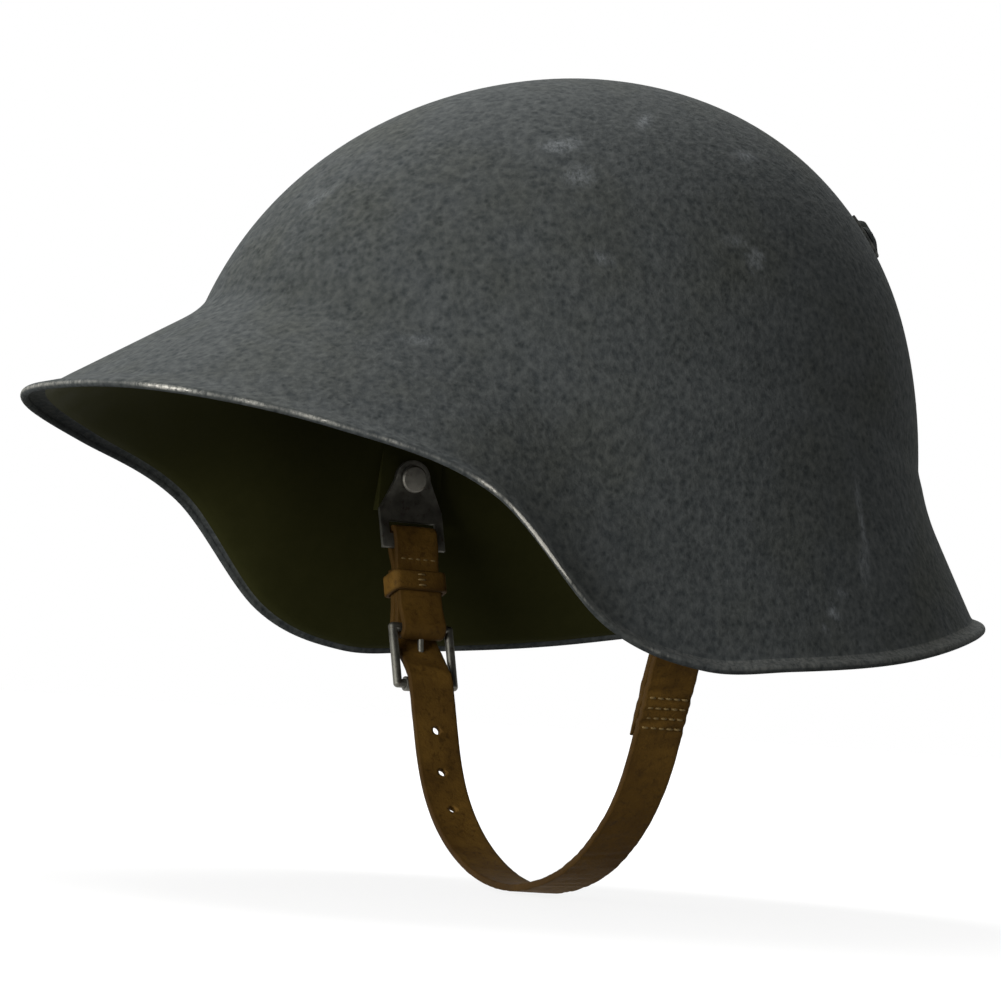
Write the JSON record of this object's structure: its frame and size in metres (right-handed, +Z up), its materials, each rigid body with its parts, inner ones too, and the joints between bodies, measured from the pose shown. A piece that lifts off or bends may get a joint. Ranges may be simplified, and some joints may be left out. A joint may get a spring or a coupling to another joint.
{
  "type": "steel helmet",
  "caption": "Deep steel helmet with a broad visor, flared neck guard, rear vent hood, laced leather liner and a buckled chin strap.",
  "frame": {"origin": "centre of the head opening, in the plane of the headband's lower edge", "axes": "+Z up through the crown, -Y to the front of the helmet, +X to the wearer's left"},
  "size_m": [0.2434, 0.3141, 0.2591],
  "materials": {
    "shell_paint": "rough matt field-grey paint with grit, worn to steel on the rim",
    "inner_paint": "matt dark olive paint",
    "tinned_steel": "dull tinned sheet",
    "rivet_steel": "dulled steel",
    "strap_metal": "worn blackened steel",
    "pad_felt": "grey-brown wool felt",
    "liner_leather": "vegetable-tanned, darkened by use",
    "lace_cord": "waxed linen cord",
    "strap_leather": "reddish-brown strap leather, oiled"
  },
  "bodies": {
    "root": {"shell": "shell_paint", "vent_hood": "shell_paint", "vent_hood_rivets": "shell_paint", "liner_lug_front_left": "inner_paint", "liner_lug_front_right": "inner_paint", "liner_lug_rear_left": "inner_paint", "liner_lug_rear_right": "inner_paint", "liner_ring": "tinned_steel", "liner_lug_rivets": "rivet_steel", "liner_band_rivets": "rivet_steel", "pad_front": "pad_felt", "pad_rear": "pad_felt", "pad_left": "pad_felt", "pad_right": "pad_felt", "liner_leather": "liner_leather", "crown_lace": "lace_cord", "strap_lug_left": "inner_paint", "strap_lug_right": "inner_paint", "strap_pin_left": "rivet_steel", "strap_pin_right": "rivet_steel"},
    "chinstrap": {"strap_hanger_left": "strap_metal", "strap_hanger_right": "strap_metal", "strap_long": "strap_leather", "strap_short": "strap_leather", "buckle_frame": "strap_metal"},
    "prong": {"buckle_prong": "strap_metal"},
    "roller": {"buckle_roller": "strap_metal"},
    "keeper": {"strap_keeper": "strap_leather"}
  },
  "joints": [
    {"name": "strap_swing", "type": "hinge", "parent": "root", "child": "chinstrap", "pos_m": [0, 0.002, -0.036], "axis": [1, 0, 0], "range_deg": [-70, 70]},
    {"name": "prong_lift", "type": "hinge", "parent": "chinstrap", "child": "prong", "pos_m": [-0.08572, 0.002, -0.08647], "axis": [0, 1, 0], "range_deg": [0, 30]},
    {"name": "roller_spin", "type": "hinge", "parent": "chinstrap", "child": "roller", "pos_m": [-0.07888, 0.002, -0.10526], "axis": [0, 1, 0], "continuous": true},
    {"name": "keeper_slide", "type": "slide", "parent": "chinstrap", "child": "keeper", "axis": [0.342, 0, -0.9397], "range_m": [-0.003, 0.001]}
  ]
}
